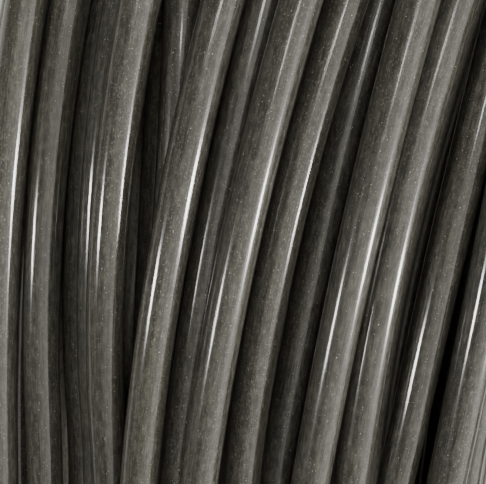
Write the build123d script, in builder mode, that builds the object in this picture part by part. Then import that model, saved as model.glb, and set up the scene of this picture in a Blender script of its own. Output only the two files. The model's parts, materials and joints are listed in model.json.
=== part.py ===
from build123d import *

import os
from math import asin, ceil, cos, radians, sin, sqrt

# Coil of cold heading wire, lying on its end, tied by four sealed steel straps.
# The frame has +Z up the coil's axis and its origin on the floor, at the middle of the coil.
# All sizes are in millimetres.

# Wire, as drawn
wire_d = 8.0

# Bundle of turns: its eye, its section from the eye out and up, and its rounded corners
bore_d = 920.0
bundle_w = 130.0
coil_h = 300.0
corner_r = 20.0
nesting = 0.95  # spacing of the turns that show on an end, in wire diameters
row_h = 16.0  # height of a row of turns on the outside, between two that stand back
row_dip = 6.0  # how far the turns between two rows stand back
corner_flats = 3  # straight runs around a corner

# Flat steel strap around the bundle's section
strap_count = 4
first_strap_at = 45.0  # degrees round from +X
strap_w = 32.0
strap_t = 0.9
fit_gap = 0.06  # between faces that lie on each other

# Seal that holds the strap's two lapped ends, half way up the outside of the coil
seal_len = 45.0
seal_t = 1.0
seal_flap = 10.0  # how far each side is folded in behind the strap
seal_fold_r = 0.9  # outside of its folded edges
under_tail = 10.0  # strap's first end, past the seal
over_tail = 24.0  # strap's second end, past the seal
ramp = 34.0  # from the seal to where the strap lies on the coil again
ramp_start = 4.0  # from the seal to where it starts to come down

# Notches that lock seal and strap together, cut in from both edges
notch_pitch = 18.0
notch_depth = 5.0
notch_root = 3.0
notch_mouth = 10.0  # width of the cut as far outside the strap's edge as it goes in

wire_r = wire_d / 2
bore_r = bore_d / 2
outer_r = bore_r + bundle_w
base_z = strap_t + fit_gap  # the coil lies on its straps
mid_z = base_z + coil_h / 2
half_h = coil_h / 2


def strap_angle(index):
    """Degrees round from +X to a strap."""
    return first_strap_at + index * 360 / strap_count


def radial_plane(angle, height=0.0):
    """Upright plane through the coil's axis: x runs outwards and y runs up."""
    out = (cos(radians(angle)), sin(radians(angle)), 0)
    side = (sin(radians(angle)), -cos(radians(angle)), 0)
    return Plane(origin=(0, 0, height), x_dir=out, z_dir=side)


def level_plane(angle, height):
    """Level plane at that height: x runs outwards on the strap's side of the coil."""
    out = (cos(radians(angle)), sin(radians(angle)), 0)
    return Plane(origin=(0, 0, height), x_dir=out, z_dir=(0, 0, 1))


def tangent_plane(angle, reach):
    """Upright plane facing outwards at that reach: x runs round the coil and y runs up."""
    out = Vector(cos(radians(angle)), sin(radians(angle)), 0)
    along = (-sin(radians(angle)), cos(radians(angle)), 0)
    return Plane(origin=out * reach, x_dir=along, z_dir=out)


# Turned bundle: plain in its eye, with a crest for each turn that shows on its ends, and one for
# each row of turns that stands out on its outside. A crest falls in one slope to each side.
flat_w = bundle_w - 2 * corner_r
turns_shown = ceil(flat_w / (nesting * wire_d))
turn_pitch = flat_w / turns_shown
valley_angle = asin(turn_pitch / wire_d)  # on the wire, from its top to the valley
valley_drop = wire_r * (1 - cos(valley_angle))
flat_h = coil_h - 2 * corner_r
rows_shown = ceil(flat_h / row_h)
row_pitch = flat_h / rows_shown


def end_outline():
    """Points across the upper end, from the bore's wall to the outside."""
    corner_steps = [radians(90 * step / corner_flats) for step in range(corner_flats + 1)]
    inner_x = bore_r + corner_r
    outer_x = outer_r - corner_r
    corner_y = half_h - corner_r
    points = [(inner_x - corner_r * cos(a), corner_y + corner_r * sin(a)) for a in corner_steps]
    for turn in range(turns_shown):
        valley_x = inner_x + (turn + 0.5) * turn_pitch
        points.append((valley_x, half_h - valley_drop))
        if turn < turns_shown - 1:
            points.append((valley_x + turn_pitch / 2, half_h))
    points += [(outer_x + corner_r * sin(a), corner_y + corner_r * cos(a)) for a in corner_steps]
    return points


def side_outline():
    """Points down the outside, between its two corners."""
    points = []
    for row in range(rows_shown):
        valley_y = half_h - corner_r - (row + 0.5) * row_pitch
        points.append((outer_r - row_dip, valley_y))
        if row < rows_shown - 1:
            points.append((outer_r, valley_y - row_pitch / 2))
    return points


upper_end = end_outline()
lower_end = [(x, -y) for x, y in reversed(upper_end)]

with BuildPart() as wire_coil:
    with BuildSketch(radial_plane(0, mid_z)):
        with BuildLine():
            Polyline(*upper_end, *side_outline(), *lower_end, close=True)
        make_face()
    revolve(axis=Axis.Z)

# Strap's run round the section, on the middle of its thickness. The strap is flat across,
# so in the round bore it stands off the wall, and on the outside it touches.
bore_rise = bore_r - sqrt(bore_r**2 - (strap_w / 2) ** 2)
off_face = fit_gap + strap_t / 2
in_x = bore_r - bore_rise - off_face
out_x = outer_r + off_face
low_y = base_z - off_face
high_y = base_z + coil_h + off_face
strap_bend_r = corner_r + off_face

# At the seal the lower end lies on the seal's flaps, and the upper end on the lower
under_x = out_x + seal_t + fit_gap
over_x = under_x + strap_t + fit_gap
seal_low = mid_z - seal_len / 2
seal_high = mid_z + seal_len / 2
under_end = seal_low - under_tail
over_end = seal_high + over_tail


def notch_cutter(angle):
    """Wedges that cut the notches into both edges, through seal and strap."""
    root = strap_w / 2 - notch_depth
    mouth = strap_w / 2 + notch_depth
    with BuildPart() as cutter:
        with BuildSketch(tangent_plane(angle, outer_r)):
            for side in (-1, 1):
                for height in (mid_z - notch_pitch / 2, mid_z + notch_pitch / 2):
                    with BuildLine():
                        Polyline(
                            (side * root, height - notch_root / 2),
                            (side * root, height + notch_root / 2),
                            (side * mouth, height + notch_mouth / 2),
                            (side * mouth, height - notch_mouth / 2),
                            close=True,
                        )
                    make_face()
        extrude(amount=over_x - outer_r + strap_t + 2 * seal_t)
    return cutter.part


def make_strap(angle):
    """Band round the section whose ends lap at the seal, one over the other."""
    with BuildPart() as strap:
        with BuildSketch(radial_plane(angle)):
            with BuildLine():
                FilletPolyline(
                    (under_x, under_end),
                    (under_x, seal_high + ramp_start),
                    (out_x, seal_high + ramp),
                    (out_x, high_y),
                    (in_x, high_y),
                    (in_x, low_y),
                    (out_x, low_y),
                    (out_x, under_end - ramp),
                    (over_x, under_end - ramp_start),
                    (over_x, over_end),
                    radius=strap_bend_r,
                )
            trace(line_width=strap_t)
        extrude(amount=strap_w / 2, both=True)
        add(notch_cutter(angle), mode=Mode.SUBTRACT)
    return strap.part


def make_seal(angle):
    """Sleeve of thin steel, folded in behind the lapped strap and left open between its flaps."""
    inner_x = under_x - strap_t / 2 - fit_gap
    outer_x = over_x + strap_t / 2 + fit_gap
    mid_x = (inner_x + outer_x) / 2
    inside_x = outer_x - inner_x
    inside_y = strap_w + 2 * fit_gap
    with BuildPart() as seal:
        with BuildSketch(level_plane(angle, seal_low)):
            with Locations((mid_x, 0)):
                Rectangle(inside_x + 2 * seal_t, inside_y + 2 * seal_t)
                fillet(vertices(), radius=seal_fold_r)
                Rectangle(inside_x, inside_y, mode=Mode.SUBTRACT)
            with Locations((inner_x, 0)):
                Rectangle(4 * seal_t, inside_y - 2 * seal_flap, mode=Mode.SUBTRACT)
        extrude(amount=seal_len)
        add(notch_cutter(angle), mode=Mode.SUBTRACT)
    return seal.part


if __name__ == "__main__":
    os.makedirs("parts", exist_ok=True)
    wire_coil.part.label = "wire_coil"
    export_step(wire_coil.part, "parts/wire_coil.step")
    for number in range(strap_count):
        strap = make_strap(strap_angle(number))
        strap.label = f"strap_{number + 1}"
        export_step(strap, f"parts/{strap.label}.step")
        seal = make_seal(strap_angle(number))
        seal.label = f"seal_{number + 1}"
        export_step(seal, f"parts/{seal.label}.step")
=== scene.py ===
import json
from math import cos, pi, radians, sin, sqrt

import bpy
import numpy as np
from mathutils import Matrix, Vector


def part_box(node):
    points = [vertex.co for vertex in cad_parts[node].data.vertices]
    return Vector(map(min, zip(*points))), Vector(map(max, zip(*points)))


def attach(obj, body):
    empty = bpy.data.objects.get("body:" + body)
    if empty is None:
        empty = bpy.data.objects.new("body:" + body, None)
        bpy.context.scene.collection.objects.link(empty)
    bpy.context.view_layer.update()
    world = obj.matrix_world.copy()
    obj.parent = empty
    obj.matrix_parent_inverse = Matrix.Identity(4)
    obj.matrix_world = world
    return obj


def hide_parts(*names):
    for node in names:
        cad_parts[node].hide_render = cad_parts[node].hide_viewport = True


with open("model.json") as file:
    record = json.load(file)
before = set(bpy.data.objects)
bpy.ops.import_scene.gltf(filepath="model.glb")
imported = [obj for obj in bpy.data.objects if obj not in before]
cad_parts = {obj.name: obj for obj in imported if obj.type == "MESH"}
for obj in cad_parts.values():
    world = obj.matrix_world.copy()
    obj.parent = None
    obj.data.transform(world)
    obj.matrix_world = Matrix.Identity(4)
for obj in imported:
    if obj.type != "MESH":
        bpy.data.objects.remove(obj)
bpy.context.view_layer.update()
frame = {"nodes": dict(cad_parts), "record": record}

bpy.ops.object.select_all(action="DESELECT")

# The lie of the wire: one length of cold drawn steel, laid down turn after turn in a ring-shaped
# bundle. Each turn drops on those before it and slides sideways into the nearest hollow, so the
# turns lie almost side by side, cross at small angles and leave gaps that show the layer below.
wire_d = 0.008
coil_low, coil_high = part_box("wire_coil")
outer_r = coil_high.x
bore_r = frame["record"]["mounts"][0]["dims"]["r_mm"] / 1000
middle_r = (outer_r + bore_r) / 2
half_width = (outer_r - bore_r - wire_d) / 2
corner_r = 0.020
floor_level = coil_low.z + wire_d / 2
top_level = coil_high.z - wire_d / 2
turns_below = 396        # turns that fell before the last ones, which are listed below
stations = 180           # places round a turn at which its lie is worked out
sweep_turns = 11.3       # turns that the laying takes from the eye to the outside
swing = 1.06             # how far the laying goes to each side, in half widths, but for the edges
off_centre = 0.0018      # about how far a loop is off the middle
off_centre_reach = 0.45  # share of a turn over which that changes
ripple = 0.0005          # small bends in the wire
ripple_reach = 0.06
rng = np.random.default_rng(7)

# The turns that fell last, in their order. The first three numbers are how far outwards of the
# bundle's middle each lies, in mm, at three places of the part that is seen close, the next two
# how far it lies under the highest one at the first and the third of them, and the last is how
# much dry drawing powder it carries.
close_angles = (165.0, 169.5, 174.0)
last_turns = (
    (36.7, 35.2, 32.2, 19.7, 21.3, 0.1),
    (43.5, 42.3, 40.0, 15.8, 16.6, 0.5),
    (51.5, 50.4, 49.0, 13.0, 15.0, 0.3),
    (24.9, 19.1, 16.2, 17.8, 18.4, 0.6),
    (32.7, 30.9, 27.6, 12.7, 14.7, 0.1),
    (21.8, 15.3, 13.3, 10.4, 10.9, 0.6),
    (5.5, 5.6, 6.7, 5.8, 7.1, 0.6),
    (-16.2, -16.4, -15.3, 9.9, 10.3, 0.9),
    (-40.5, -41.7, -40.7, 8.7, 6.5, 0.3),
    (-55.0, -56.0, -56.0, 12.0, 12.0, 0.4),
    (-29.0, -29.5, -29.5, 3.8, 3.1, 0.7),
    (-9.3, -7.9, -6.8, 5.1, 5.6, 0.9),
    (28.5, 27.2, 24.2, 5.5, 8.2, 0.1),
    (13.0, 13.7, 14.7, 2.6, 2.7, 0.2),
    (-0.8, 0.3, 1.9, 0.7, 0.0, 0.9),
    (-21.7, -22.2, -21.2, 0.5, 0.2, 0.8),
    (-46.0, -49.5, -50.0, 3.0, 3.0, 0.4),
)
course_ends = (163.0, 176.5)    # degrees between which the last turns' courses are followed
led = 9                  # degrees to each side of the middle place where the numbers hold them
place_let_go = 30        # degrees over which they then go back to lying where they fall
height_let_go = 32       # the same for how high they lie
leaves_at = 200          # degrees at which a last turn starts to lead over into the next
arrives_at = 140         # degrees at which it has come over from the last one
turns = turns_below + len(last_turns)
samples = turns * stations
angles = np.arange(stations) * 360 / stations


def unevenness(reach_turns):
    """Smooth random values, one for each sample, that vary over that share of a turn."""
    reach = reach_turns * stations
    steps = np.arange(-int(3 * reach), int(3 * reach) + 1) / reach
    kernel = np.exp(-0.5 * steps**2)
    kernel /= np.sqrt((kernel**2).sum())
    return np.convolve(rng.standard_normal(samples + len(steps) - 1), kernel, mode="valid")


def smooth_step(values):
    """Values held between 0 and 1, that leave both ends gently."""
    share = np.clip(values, 0, 1)
    return share * share * (3 - 2 * share)


def width_at(level):
    """Half of the width that wires' middles have at a height, less in the rounded corners."""
    into = np.maximum(floor_level + corner_r - level, level - top_level + corner_r)
    into = np.clip(into, 0, corner_r)
    return half_width - corner_r + np.sqrt(corner_r**2 - into**2)


turn_at = np.arange(samples) / stations
round_at = 2 * pi * turn_at
sweep = swing * (2 * np.abs((turn_at / sweep_turns) % 2 - 1) - 1)
sweep = np.clip(sweep, -1, 1)
sideways = unevenness(off_centre_reach) * np.cos(round_at)
uneven = off_centre * (sideways + unevenness(off_centre_reach) * np.sin(round_at))
uneven += ripple * unevenness(ripple_reach)
width = width_at(floor_level + turn_at / turns * (top_level - floor_level))
place = (width * sweep + uneven).reshape(turns, stations)
width = width.reshape(turns, stations)
free = np.ones((turns, stations))
from_led = np.abs(angles - close_angles[1]) - led
away = smooth_step(from_led / place_let_go)
near = np.clip(angles, *course_ends)
courses = [np.polyval(np.polyfit(close_angles, turn[:3], 2), near) / 1000 for turn in last_turns]
for number, course in enumerate(courses):
    here = turns_below + number
    into_next = smooth_step((angles - leaves_at) / (360 - leaves_at)) / 2
    out_of_last = smooth_step(1 - angles / arrives_at) / 2
    ahead = courses[min(number + 1, len(courses) - 1)]
    behind = courses[max(number - 1, 0)]
    line = course + into_next * (ahead[0] - course) + out_of_last * (behind[-1] - course)
    place[here] = line + away * uneven.reshape(turns, stations)[here]
    free[here] = away
    width[here] = width_at(top_level - min(last_turns[number][3:5]) / 1000)

# The laying itself, half a turn at a time, so that the one being laid always finds the ones
# below it finished.
slide = 0.006            # the furthest that a turn slides to a hollow
slide_step = slide / 4
slide_cost = 0.1         # how much deeper a hollow has to be for each length slid
slide_span = 8           # stations over which a slide is spread
level_span = 70          # half turns under one that can carry it
steepest = 0.0025        # rise from one station to the next that the stiff wire follows
overlap = 12             # stations of the half turns beside it that steady a half turn
crest_span = 5           # stations of which the highest one carries the wire
evening = (0.12, 0.24, 0.28, 0.24, 0.12)    # weights of neighbouring stations in a height
half_turn = stations // 2
place = place.reshape(-1, half_turn)
width = width.reshape(-1, half_turn)
free = free.reshape(-1, half_turn)
height = np.zeros_like(place)
resting = np.zeros_like(place)
slides = np.arange(-slide, slide + slide_step / 2, slide_step)[:, None]
windows = np.lib.stride_tricks.sliding_window_view


def rest_on(places, below):
    """Height at which a wire at these places rests on the half turns below it."""
    gap = np.abs(places - place[below])
    rise = np.sqrt(np.maximum(wire_d**2 - gap**2, 0))
    return np.where(gap < wire_d, height[below] + rise, floor_level).max(0)


def bridge(part):
    """A half turn's heights once the stiff wire has evened out its steps."""
    before = resting[part - 1] if part else resting[part]
    after = resting[part + 1] if part + 1 < len(resting) else resting[part]
    line = np.concatenate([before[-overlap:], resting[part], after[:overlap]])
    along = steepest * np.arange(len(line))
    from_behind = np.maximum.accumulate(line + along) - along
    from_ahead = np.maximum.accumulate((line - along)[::-1])[::-1] + along
    high = windows(np.maximum(from_behind, from_ahead), crest_span).max(1)
    evened = np.convolve(high, evening, mode="valid")
    start = overlap - crest_span // 2 - len(evening) // 2
    return evened[start:start + half_turn]


slow = slower = 0.0
for part in range(len(place)):
    below = np.arange(part % 2, part, 2)[-level_span:]
    resting[part] = floor_level
    if len(below):
        moves = slides * free[part]
        tried = np.clip(place[part] + moves, -width[part], width[part])
        levels = np.array([rest_on(row, below) for row in tried]) + slide_cost * np.abs(moves)
        levels = np.pad(levels, ((0, 0), (slide_span, slide_span)), mode="edge")
        levels = windows(levels, 2 * slide_span + 1, axis=1).mean(2)
        best = slides[levels.argmin(0), 0]
        for station, wanted in enumerate(best):
            slow += (wanted - slow) / slide_span
            slower += (slow - slower) / slide_span
            best[station] = slower
        place[part] = np.clip(place[part] + best * free[part], -width[part], width[part])
        resting[part] = rest_on(place[part], below)
    if part:
        height[part - 1] = bridge(part - 1)
height[-1] = bridge(len(place) - 1)
place = place.reshape(turns, stations)
height = height.reshape(turns, stations)

# A bundle that is pressed and strapped is level all round. The turns laid above come out up to
# 6 % lower than it, so they are drawn up to one level top. The last turns then get the heights
# that they have in the part seen close, and whatever lies under a turn gives way to it.
columns_across = 16
low_columns = 4          # the lowest of them, at the rounded corners, don't count
level_over = 13          # stations over which the top is levelled
kept_below = 0.003       # how far under the highest wires the levelled top lies
pressed = 90             # turns down from the last one at which none gives way any more
press_reach = 44         # turns above one that can press on it
press_fade = 40          # turns over which the lowest of them give way less
columns = np.linspace(-half_width, half_width, columns_across)
tops = [np.where(np.abs(place - column) < wire_d, height, 0).max(0) for column in columns]
tops = np.sort(np.array(tops), axis=0)[low_columns:].mean(0)
tops = np.convolve(np.tile(tops, 3), np.full(level_over, 1 / level_over), mode="same")
tops = tops[stations:2 * stations]
levelled = top_level - kept_below - floor_level
height = floor_level + (height - floor_level) * levelled / (tops - floor_level)
held = 1 - smooth_step(from_led / height_let_go)
for number, turn in enumerate(last_turns):
    here = turns_below + number
    under = np.interp(angles, (close_angles[0], close_angles[2]), turn[3:5]) / 1000
    height[here] += held * (top_level - under - height[here])
into = np.clip(np.abs(place) - half_width + corner_r, 0, corner_r)
height = np.minimum(height, top_level - corner_r + np.sqrt(corner_r**2 - into**2))
for here in range(turns - 2, turns - pressed, -1):
    above = slice(here + 1, min(here + 1 + press_reach, turns))
    gap = np.abs(place[above] - place[here])
    rise = np.sqrt(np.maximum(wire_d**2 - gap**2, 0))
    room = np.where(gap < wire_d, height[above] - rise, 1).min(0)
    give = np.maximum(height[here] - room, 0)
    height[here] -= give * smooth_step((here - turns + pressed) / press_fade)

# The turns as they are seen: round steel wire, drawn to its size through a die, with a dark film
# of lubricant. Only the lengths that light reaches, from above, from outside, from the eye and
# from below, are made. The last turn is cut under the strap at 315 degrees, which holds it.
cell = 0.002             # width of the strips in which the outermost turn is looked for
depth_limits = (0.019, 0.013, 0.013, 0.007)     # how deep a seen turn may lie on those four sides
seen_spread = 4          # stations by which a seen length is longer at both ends
cut_short = 0.12         # share of a turn that is missing from the last one
end_cut = int((turns - cut_short) * stations)
across = ((place + half_width) / cell).astype(int)
up = ((height - floor_level) / cell).astype(int)
station_of = np.broadcast_to(np.arange(stations), place.shape)


def depth_under(values, cells, reach=2):
    """How deep each sample lies under the furthest turns in its strip and those beside it."""
    far = np.full((stations, cells.max() + 1), -1.0)
    np.maximum.at(far, (station_of, cells), values)
    padded = np.pad(far, ((0, 0), (reach, reach)), constant_values=-1)
    furthest = windows(padded, 2 * reach + 1, axis=1).max(2)
    return furthest[station_of, cells] - values


depths = np.stack([
    depth_under(height, across),
    depth_under(place + 1, up),
    depth_under(1 - place, up),
    depth_under(1 - height, across),
])
seen = (depths < np.array(depth_limits)[:, None, None]).reshape(4, -1)
seen[:, end_cut:] = False
spread = windows(np.pad(seen.any(0), seen_spread), 2 * seen_spread + 1).max(1)
spread[end_cut:] = False
edges = np.flatnonzero(np.diff(np.concatenate([[0], spread.astype(int), [0]])))
runs = edges.reshape(-1, 2)
kinds = [np.argmax(seen[:, first:last].sum(1)) for first, last in runs]
line_r = (middle_r + place).ravel()
line_z = height.ravel()


def smooth_line(values, fine):
    """A smooth line through the values, with `fine` steps between each two."""
    padded = np.concatenate([[2 * values[0] - values[1]], values, [2 * values[-1] - values[-2]]])
    share = (np.arange(fine) / fine)[None, :]
    p0, p1, p2, p3 = (padded[k:len(values) - 1 + k, None] for k in range(4))
    bend = (2 * p0 - 5 * p1 + 4 * p2 - p3) * share**2
    twist = (3 * p1 - p0 - 3 * p2 + p3) * share**3
    steps = 0.5 * (2 * p1 + (p2 - p0) * share + bend + twist)
    return np.append(steps.ravel(), values[-1])


def wire_piece(name, lengths):
    """One mesh of many lengths of round wire, each given as points, sides, start and finish."""
    all_points = []
    all_loops = []
    all_sizes = []
    all_along = []
    all_finishes = []
    count = 0
    for centres, sides, start, finish in lengths:
        forward = np.gradient(centres, axis=0)
        forward /= np.linalg.norm(forward, axis=1)[:, None]
        outwards = centres * (1, 1, 0)
        outwards -= forward * (outwards * forward).sum(1)[:, None]
        outwards /= np.linalg.norm(outwards, axis=1)[:, None]
        upwards = np.cross(outwards, forward)
        round_wire = 2 * pi * np.arange(sides) / sides
        out_by = wire_d / 2 * np.cos(round_wire)[None]
        up_by = wire_d / 2 * np.sin(round_wire)[None]
        rings = outwards[:, None] * out_by[..., None] + upwards[:, None] * up_by[..., None]
        all_points.append((centres[:, None] + rings).reshape(-1, 3))
        run = start + np.append(0, np.linalg.norm(np.diff(centres, axis=0), axis=1).cumsum())
        along = np.broadcast_arrays(out_by, up_by, run[:, None])
        all_along.append(np.stack(along, axis=2).reshape(-1, 3))
        rows = len(centres) - 1
        side = np.arange(sides)[None]
        row_start = count + sides * np.arange(rows)[:, None]
        first = row_start + side
        beside = row_start + (side + 1) % sides
        all_loops.append(np.stack([first, first + sides, beside + sides, beside], axis=2).ravel())
        all_loops.append(count + np.arange(sides))
        all_loops.append(count + sides * rows + np.arange(sides)[::-1])
        all_sizes += [4] * (rows * sides) + [sides, sides]
        all_finishes += [finish] * (rows * sides + 2)
        count += len(centres) * sides
    points = np.concatenate(all_points)
    loops = np.concatenate(all_loops)
    sizes = np.array(all_sizes)
    mesh = bpy.data.meshes.new(name)
    mesh.vertices.add(len(points))
    mesh.vertices.foreach_set("co", points.ravel())
    mesh.loops.add(len(loops))
    mesh.loops.foreach_set("vertex_index", loops)
    mesh.polygons.add(len(sizes))
    mesh.polygons.foreach_set("loop_start", np.append(0, sizes.cumsum()[:-1]))
    mesh.polygons.foreach_set("use_smooth", sizes == 4)
    mesh.update(calc_edges=True)
    along = mesh.attributes.new("along_wire", "FLOAT_VECTOR", "POINT")
    along.data.foreach_set("vector", np.concatenate(all_along).ravel())
    mesh.polygons.foreach_set("material_index", np.array(all_finishes))
    piece = bpy.data.objects.new(name, mesh)
    bpy.context.scene.collection.objects.link(piece)
    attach(piece, "root")
    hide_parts("wire_coil")
    return piece


bare, powdered, dust_and_fill_light = range(3)     # places of the wire's finishes on its pieces
powder_range = (0.1, 0.9)    # least and most powder on the turns that fell earlier
powdered_above = 0.5     # powder on a turn above which it counts as powdered
dust_and_painted_fill_depth = 0.021       # depth in the gaps of an end below which the turns get dust with painted fill light, a lighter colour
furthest_start = 30.0    # metres along the wire within which a length's grain starts


def length_of_wire(first, last, fine, sides, every=1, in_gaps=False):
    """The wire's middle line from one sample to another, with what wire_piece needs of it."""
    here = np.arange(first, last)
    if every > 1:
        here = np.unique(np.append(here[::every], here[-1]))
    angle = smooth_line(2 * pi * here / stations, fine)
    r = smooth_line(line_r[here], fine)
    z = smooth_line(line_z[here], fine)
    centres = np.stack([r * np.cos(angle), r * np.sin(angle), z], axis=1)
    late = int((first + last) / 2 / stations) - turns_below
    powder = last_turns[late][5] if late >= 0 else rng.uniform(*powder_range)
    finish = powdered if powder > powdered_above else bare
    inside = abs(r.mean() - middle_r) < half_width - corner_r
    # Turns deep in the gaps get the lighter finish: dust, and painted fill light that stands in for
    # the light reaching into the gaps.
    if in_gaps and late < 0 and inside and top_level - z.mean() > dust_and_painted_fill_depth:
        finish = dust_and_fill_light
    return centres, sides, float(rng.uniform(0, furthest_start)), finish


close_reach = 13         # degrees to each side of the middle place that get the finest mesh
close_fine = 3           # steps of the mesh from one station to the next
close_sides = 32         # flats round the wire
end_sides = 14
side_sides = 10
side_every = 2           # stations to one step of the mesh
end_lengths = []
close_lengths = []
side_lengths = [[], [], [], []]
for (first, last), kind in zip(runs, kinds):
    if kind > 0:
        side_lengths[kind].append(length_of_wire(first, last, 1, side_sides, side_every))
        continue
    here = np.arange(first, last)
    close = np.abs((here % stations) * 360 / stations - close_angles[1]) < close_reach
    cuts = np.flatnonzero(np.diff(close.astype(int))) + 1
    for part in np.split(here, cuts):
        stop = min(part[-1] + 2, last)
        if stop - part[0] < 2:
            continue
        if close[part[0] - first]:
            close_lengths.append(length_of_wire(part[0], stop, close_fine, close_sides, 1, True))
        else:
            end_lengths.append(length_of_wire(part[0], stop, 1, end_sides, 1, True))

wire_pieces = [
    wire_piece("end_turns", end_lengths),
    wire_piece("close_turns", close_lengths),
    wire_piece("outer_turns", side_lengths[1]),
    wire_piece("eye_turns", side_lengths[2]),
    wire_piece("lower_turns", side_lengths[3]),
]


def new_finish(name):
    """A new material with its node tree and its shader."""
    material = bpy.data.materials.new(name)
    material.use_nodes = True
    return material, material.node_tree, material.node_tree.nodes["Principled BSDF"]


def feed(tree, socket, value):
    """Gives a socket a fixed value or links another node's to it."""
    if isinstance(value, bpy.types.NodeSocket):
        tree.links.new(value, socket)
    else:
        socket.default_value = value


def blend_colour(tree, share, first, second):
    """A colour between two, each a fixed colour or another node's."""
    node = tree.nodes.new("ShaderNodeMix")
    node.data_type = "RGBA"
    # Of this node's sockets, 6 and 7 take the two colours and 2 gives the blend.
    feed(tree, node.inputs[0], share)
    feed(tree, node.inputs[6], first)
    feed(tree, node.inputs[7], second)
    return node.outputs[2]


def level_of(tree, value, low, high, out_low=0.0, out_high=1.0):
    """The value spread from its own range to another, and held inside it."""
    node = tree.nodes.new("ShaderNodeMapRange")
    tree.links.new(value, node.inputs["Value"])
    node.inputs["From Min"].default_value = low
    node.inputs["From Max"].default_value = high
    node.inputs["To Min"].default_value = out_low
    node.inputs["To Max"].default_value = out_high
    return node.outputs["Result"]


def worked_out(tree, kind, first, second=0.0):
    """The sum, product or another outcome of two values."""
    node = tree.nodes.new("ShaderNodeMath")
    node.operation = kind
    feed(tree, node.inputs[0], first)
    feed(tree, node.inputs[1], second)
    return node.outputs[0]


def grain(tree, source, size, detail, stretch=(1, 1, 1)):
    """Uneven values of about this size in metres, drawn out along the wire where it is asked."""
    turned = tree.nodes.new("ShaderNodeMapping")
    turned.inputs["Scale"].default_value = stretch
    noise = tree.nodes.new("ShaderNodeTexNoise")
    noise.inputs["Scale"].default_value = 1 / size
    noise.inputs["Detail"].default_value = detail
    tree.links.new(source, turned.inputs["Vector"])
    tree.links.new(turned.outputs["Vector"], noise.inputs["Vector"])
    return noise.outputs["Fac"]


def roughen(tree, height_value, strength, distance, normal_socket):
    """A bump that follows the value, on one of the shader's normals."""
    relief = tree.nodes.new("ShaderNodeBump")
    relief.inputs["Strength"].default_value = strength
    relief.inputs["Distance"].default_value = distance
    tree.links.new(height_value, relief.inputs["Height"])
    tree.links.new(relief.outputs["Normal"], normal_socket)


thin_film = (0.0255, 0.0247, 0.0202, 1)
thick_film = (0.0480, 0.0466, 0.0386, 1)
olive_film = (0.052, 0.051, 0.034, 1)
brown_stain = (0.042, 0.037, 0.031, 1)
drawn_line = (0.072, 0.0705, 0.062, 1)
dark_streak = (0.012, 0.0115, 0.009, 1)
light_streak = (0.120, 0.118, 0.104, 1)
dark_grit = (0.017, 0.0165, 0.013, 1)
light_grit = (0.105, 0.102, 0.088, 1)
powder_fleck = (0.20, 0.192, 0.165, 1)
dust_speck = (0.80, 0.78, 0.72, 1)
drawing_powder = (0.074, 0.072, 0.061, 1)
# Dust with painted fill light: the lighter colour of the turns deep in the gaps.
shop_dust_and_painted_fill = (0.360, 0.350, 0.295, 1)
line_depth = 0.0002


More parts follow.
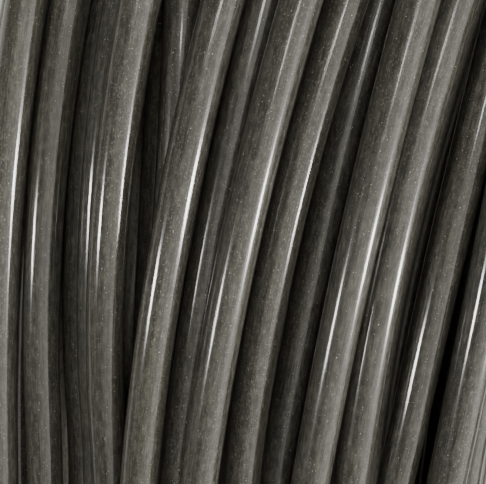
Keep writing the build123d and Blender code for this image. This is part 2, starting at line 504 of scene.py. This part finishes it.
def drawn_steel(name, powder, least, most, gloss_roughness):
    """Drawn steel with its lines and dark film, under more or less of a dry powder; in the gaps that
    layer is dust with painted fill light.
    """
    steel, tree, shader = new_finish(name)
    lie = tree.nodes.new("ShaderNodeAttribute")
    lie.attribute_name = "along_wire"
    lie = lie.outputs["Vector"]
    draw_lines = grain(tree, lie, size=0.0004, stretch=(1, 1, 0.012), detail=3.0)
    streaks = grain(tree, lie, size=0.00026, stretch=(1, 1, 0.05), detail=2.0)
    film = grain(tree, lie, size=0.0035, stretch=(1, 1, 0.35), detail=4.0)
    patches = grain(tree, lie, size=0.03, stretch=(1, 1, 0.4), detail=2.0)
    stains = grain(tree, lie, size=0.021, stretch=(1, 1, 0.22), detail=3.0)
    grit = grain(tree, lie, size=0.0007, stretch=(1, 1, 0.35), detail=3.0)
    flecks = grain(tree, lie, size=0.00035, stretch=(1, 1, 0.7), detail=2.0)
    dust = grain(tree, lie, size=0.00024, detail=1.0)
    body = blend_colour(tree, level_of(tree, film, 0.3, 0.7), thin_film, thick_film)
    # Each layer is a grain, the two levels between which it comes in, how much of its colour
    # lies on the wire at the lower and at the upper one, and that colour.
    layers = (
        (patches, 0.45, 0.65, 0.0, 0.75, olive_film),
        (stains, 0.52, 0.72, 0.0, 0.70, brown_stain),
        (draw_lines, 0.35, 0.70, 0.0, 0.50, drawn_line),
        (streaks, 0.35, 0.50, 0.45, 0.0, dark_streak),
        (streaks, 0.55, 0.75, 0.0, 0.50, light_streak),
        (film, 0.35, 0.65, least, most, powder),
        (grit, 0.36, 0.50, 0.48, 0.0, dark_grit),
        (grit, 0.52, 0.68, 0.0, 0.48, light_grit),
    )
    for pattern, low, high, at_low, at_high, colour in layers:
        body = blend_colour(tree, level_of(tree, pattern, low, high, at_low, at_high), body, colour)
    soiled = level_of(tree, stains, 0.42, 0.58, 0.15, 1.0)
    fleck_level = level_of(tree, flecks, 0.55, 0.76, 0.0, 0.65)
    fleck_share = worked_out(tree, "MULTIPLY", fleck_level, soiled)
    body = blend_colour(tree, fleck_share, body, powder_fleck)
    body = blend_colour(tree, level_of(tree, dust, 0.745, 0.79), body, dust_speck)
    tree.links.new(body, shader.inputs["Base Color"])
    lines_roughness = level_of(tree, draw_lines, 0.3, 0.7, -0.05, 0.06)
    film_roughness = level_of(tree, film, 0.3, 0.7, 0.34, 0.44)
    roughness = worked_out(tree, "ADD", lines_roughness, film_roughness)
    tree.links.new(roughness, shader.inputs["Roughness"])
    shader.inputs["Specular IOR Level"].default_value = 0.09
    shader.inputs["Coat Weight"].default_value = 0.9
    shader.inputs["Coat Roughness"].default_value = gloss_roughness
    shader.inputs["Coat IOR"].default_value = 1.6
    streak_height = level_of(tree, streaks, 0.3, 0.7, 0.0, 0.6)
    line_height = worked_out(tree, "ADD", draw_lines, streak_height)
    roughen(tree, line_height, 0.3, line_depth, shader.inputs["Normal"])
    roughen(tree, draw_lines, 0.12, line_depth, shader.inputs["Coat Normal"])
    return steel


finishes = (
    drawn_steel("bare_drawn_wire", drawing_powder, 0.0, 0.0, 0.12),
    drawn_steel("powdered_drawn_wire", drawing_powder, 0.0, 0.3, 0.15),
    # The third finish is dust with painted fill light, lighter on the turns deep in the gaps.
    drawn_steel("gap_wire_dust_and_painted_fill", shop_dust_and_painted_fill, 0.75, 0.95, 0.3),
)
for piece in wire_pieces:
    for finish in finishes:
        piece.data.materials.append(finish)

# The turns deep in the bundle, of the same wire, that only show as dark ribs through its gaps.
# They are one ring with a rib for each turn, spun round the coil's axis well under the turns
# that are made singly.
core_half = half_width - 0.016
core_low = floor_level + 0.010
core_high = top_level - 0.027
core_corner = 0.012
corner_steps = 12
rib_steps = 4
spin_steps = 90
merge_within = 0.00005
deep_shade = (0.012, 0.011, 0.008, 1)
dim_film = (0.040, 0.037, 0.029, 1)
core_corners = (
    (core_half - core_corner, core_high - core_corner),
    (core_corner - core_half, core_high - core_corner),
    (core_corner - core_half, core_low + core_corner),
    (core_half - core_corner, core_low + core_corner),
)
edge = []
for quarter, (corner_across, corner_up) in enumerate(core_corners):
    for step in range(corner_steps + 1):
        turn = (quarter + step / corner_steps) * pi / 2
        edge.append((corner_across + core_corner * cos(turn), corner_up + core_corner * sin(turn)))
edge = np.array(edge + edge[:1])
reach = np.append(0, np.linalg.norm(np.diff(edge, axis=0), axis=1).cumsum())
ribs = round(reach[-1] / wire_d)
at = np.linspace(0, reach[-1], ribs * rib_steps, endpoint=False)
line = np.stack([np.interp(at, reach, edge[:, 0]), np.interp(at, reach, edge[:, 1])], axis=1)
ahead = np.roll(line, -1, axis=0) - np.roll(line, 1, axis=0)
outward = np.stack([ahead[:, 1], -ahead[:, 0]], axis=1) / np.linalg.norm(ahead, axis=1)[:, None]
rib_rise = wire_d / 2 * np.abs(np.sin(pi * np.arange(len(line)) / rib_steps))
line += outward * rib_rise[:, None]
core_mesh = bpy.data.meshes.new("bundle_core")
core_points = [(middle_r + across_here, 0, level) for across_here, level in line]
core_edges = [(number, (number + 1) % len(line)) for number in range(len(line))]
core_mesh.from_pydata(core_points, core_edges, [])
core = bpy.data.objects.new("bundle_core", core_mesh)
bpy.context.scene.collection.objects.link(core)
bpy.context.view_layer.objects.active = core
core.select_set(True)
bpy.ops.object.mode_set(mode="EDIT")
bpy.ops.mesh.select_all(action="SELECT")
bpy.ops.mesh.spin(steps=spin_steps, angle=2 * pi, center=(0, 0, 0), axis=(0, 0, 1))
bpy.ops.mesh.select_all(action="SELECT")
bpy.ops.mesh.remove_doubles(threshold=merge_within)
bpy.ops.mesh.normals_make_consistent(inside=False)
bpy.ops.mesh.faces_shade_smooth()
bpy.ops.object.mode_set(mode="OBJECT")
core.select_set(False)


def place_on_piece(tree):
    """The place on the piece, in metres, for patterns that don't follow the wire."""
    return tree.nodes.new("ShaderNodeTexCoord").outputs["Object"]


# Its colours are painted shade: darker than the wire's own film, as these deep turns lie in shade.
dark_wire, tree, shader = new_finish("wire_in_the_dark")
mottle = grain(tree, place_on_piece(tree), size=0.012, detail=3.0)
body = blend_colour(tree, mottle, deep_shade, dim_film)
tree.links.new(body, shader.inputs["Base Color"])
shader.inputs["Roughness"].default_value = 0.5
core.data.materials.append(dark_wire)
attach(core, "root")
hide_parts("wire_coil")


# The straps are black waxed steel band, drawn tight over the turns and locked by their seals.
# They are rubbed bright along their edges, and a little mottled where the wax is thin.
def cover(start_of_name, finish):
    """Gives a finish to every CAD node whose name starts so."""
    for name in frame["nodes"]:
        if name.startswith(start_of_name):
            for slot in bpy.data.objects[name].material_slots:
                slot.material = finish


strap_width = 0.032
rub_start = strap_width / 2 - 0.0002    # from the strap's middle line
rub_full = strap_width / 2 + 0.0022
rub_unevenness = 0.004
wax_relief = 0.0003
wax = (0.010, 0.010, 0.011, 1)
thin_wax = (0.026, 0.025, 0.024, 1)
wax_fleck = (0.085, 0.080, 0.074, 1)
rubbed_steel = (0.24, 0.235, 0.225, 1)
waxed, tree, shader = new_finish("waxed_strap")
on_strap = place_on_piece(tree)
split = tree.nodes.new("ShaderNodeSeparateXYZ")
tree.links.new(on_strap, split.inputs[0])
x_of = split.outputs["X"]
y_of = split.outputs["Y"]
# The straps stand on the diagonals, so along their middle lines x and y are equal or opposite.
one_way = worked_out(tree, "ABSOLUTE", worked_out(tree, "ADD", x_of, y_of))
other_way = worked_out(tree, "ABSOLUTE", worked_out(tree, "SUBTRACT", x_of, y_of))
nearer = worked_out(tree, "MINIMUM", one_way, other_way)
from_middle = worked_out(tree, "MULTIPLY", nearer, sqrt(0.5))
mottle = grain(tree, on_strap, size=0.012, detail=4.0)
fine_mottle = grain(tree, on_strap, size=0.0012, detail=2.0)
rub = worked_out(tree, "ADD", from_middle, worked_out(tree, "MULTIPLY", mottle, rub_unevenness))
edge_rub = level_of(tree, rub, rub_start, rub_full, 0.0, 0.8)
body = blend_colour(tree, level_of(tree, mottle, 0.3, 0.7), wax, thin_wax)
body = blend_colour(tree, level_of(tree, fine_mottle, 0.62, 0.78, 0.0, 0.5), body, wax_fleck)
body = blend_colour(tree, edge_rub, body, rubbed_steel)
tree.links.new(body, shader.inputs["Base Color"])
tree.links.new(level_of(tree, mottle, 0.3, 0.7, 0.28, 0.45), shader.inputs["Roughness"])
tree.links.new(edge_rub, shader.inputs["Metallic"])
roughen(tree, mottle, 0.2, wax_relief, shader.inputs["Normal"])
cover("strap_", waxed)

# The seals are zinc coated sheet, closed over the lapped strap ends and notched through both.
# The zinc has its usual flowers, gone dull in places.
zinc_dark = (0.30, 0.305, 0.31, 1)
zinc_light = (0.42, 0.425, 0.43, 1)
dull_zinc = (0.17, 0.165, 0.155, 1)
zinc_flower = 1 / 420
zinc, tree, shader = new_finish("zinc_seal")
on_seal = place_on_piece(tree)
spangle = tree.nodes.new("ShaderNodeTexVoronoi")
spangle.inputs["Scale"].default_value = 1 / zinc_flower
tree.links.new(on_seal, spangle.inputs["Vector"])
mottle = grain(tree, on_seal, size=0.006, detail=3.0)
flowers = level_of(tree, spangle.outputs["Distance"], 0.1, 0.8)
body = blend_colour(tree, flowers, zinc_dark, zinc_light)
body = blend_colour(tree, level_of(tree, mottle, 0.52, 0.68, 0.0, 0.6), body, dull_zinc)
tree.links.new(body, shader.inputs["Base Color"])
tree.links.new(level_of(tree, mottle, 0.3, 0.7, 0.32, 0.48), shader.inputs["Roughness"])
shader.inputs["Metallic"].default_value = 0.85
cover("seal_", zinc)

# The studio's floor is one plain surface in pale matt paint, far wider than the coil that
# stands on it.
pale_grey = (0.72, 0.72, 0.70, 1)
floor_size = 60
bpy.ops.mesh.primitive_plane_add(size=floor_size, location=(0, 0, 0))
floor = bpy.context.object
floor.name = "studio_floor"
paint, tree, shader = new_finish("pale_floor")
shader.inputs["Base Color"].default_value = pale_grey
shader.inputs["Roughness"].default_value = 0.7
floor.data.materials.append(paint)

# The camera stands over the part of the coil's upper end that the photograph shows, a little
# off the upright.
view_angle = radians(170)
aim = Vector((middle_r * cos(view_angle), middle_r * sin(view_angle), coil_high.z))
tilt = radians(12)
distance = 0.150
frame_width_px = 486
focal_length_px = 795
camera = bpy.data.cameras.new("camera")
camera.sensor_width = 36
camera.lens = camera.sensor_width * focal_length_px / frame_width_px
camera.clip_start = 0.01
camera_object = bpy.data.objects.new("camera", camera)
bpy.context.scene.collection.objects.link(camera_object)
camera_object.location = aim + distance * Vector((0, sin(tilt), cos(tilt)))
camera_object.rotation_euler = (-tilt, 0, 0)
bpy.context.scene.camera = camera_object

# Three soft boxes shine on that part: one on each side, which draw the sharp lines of light on
# the wires, and a weak one overhead. The numbers of each are the direction it stands in, its
# width and height in degrees and its power in watts.
soft_boxes = (
    ("window_left", (-0.80, -0.16, 0.63), 6.5, 6.5, 32),
    ("window_right", (0.86, -0.342, 0.42), 5, 11, 52),
    ("overhead", (-0.04, 0.10, 0.99), 8, 4, 6.0),
)
box_distance = 3.0
box_colour = (1.0, 0.98, 0.94)
for name, towards, wide, tall, power in soft_boxes:
    lamp = bpy.data.lights.new(name, "AREA")
    lamp.shape = "ELLIPSE"
    lamp.size = 2 * box_distance * sin(radians(wide / 2))
    lamp.size_y = 2 * box_distance * sin(radians(tall / 2))
    lamp.energy = power
    lamp.color = box_colour
    holder = bpy.data.objects.new(name, lamp)
    bpy.context.scene.collection.objects.link(holder)
    direction = Vector(towards).normalized()
    holder.location = aim + box_distance * direction
    holder.rotation_euler = direction.to_track_quat("Z", "Y").to_euler()

# The room gives an even glow, and more from one side and from above, where its light comes from.
# The numbers of each glow are its direction, the degrees from it within which the glow is full
# and beyond which it is gone, and its strength. The camera sees the floor's grey in its place.
glows = (
    ((0.84, -0.42, 0.31), 8, 40, 1.55),
    ((0.84, -0.42, 0.31), 20, 85, 0.30),
    ((0.38, 0.07, 0.9), 5, 55, 1.28),
)
room_glow = 0.205
room_colour = (1.0, 0.975, 0.895, 1)
world = bpy.data.worlds.new("studio")
bpy.context.scene.world = world
world.use_nodes = True
sky = world.node_tree
looking = sky.nodes.new("ShaderNodeTexCoord").outputs["Generated"]
brightness = room_glow
for towards, full_within, gone_beyond, strength in glows:
    facing = sky.nodes.new("ShaderNodeVectorMath")
    facing.operation = "DOT_PRODUCT"
    facing.inputs[1].default_value = Vector(towards).normalized()
    sky.links.new(looking, facing.inputs[0])
    fall = sky.nodes.new("ShaderNodeMapRange")
    fall.interpolation_type = "SMOOTHSTEP"
    fall.inputs["From Min"].default_value = cos(radians(gone_beyond))
    fall.inputs["From Max"].default_value = cos(radians(full_within))
    fall.inputs["To Max"].default_value = strength
    sky.links.new(facing.outputs["Value"], fall.inputs["Value"])
    brightness = worked_out(sky, "ADD", fall.outputs["Result"], brightness)
background = sky.nodes["Background"]
background.inputs["Color"].default_value = room_colour
sky.links.new(brightness, background.inputs["Strength"])
backdrop = sky.nodes.new("ShaderNodeBackground")
backdrop.inputs["Color"].default_value = pale_grey
seen_backdrop = sky.nodes.new("ShaderNodeMixShader")
sky.links.new(sky.nodes.new("ShaderNodeLightPath").outputs["Is Camera Ray"], seen_backdrop.inputs[0])
sky.links.new(background.outputs[0], seen_backdrop.inputs[1])
sky.links.new(backdrop.outputs[0], seen_backdrop.inputs[2])
sky.links.new(seen_backdrop.outputs[0], sky.nodes["World Output"].inputs["Surface"])
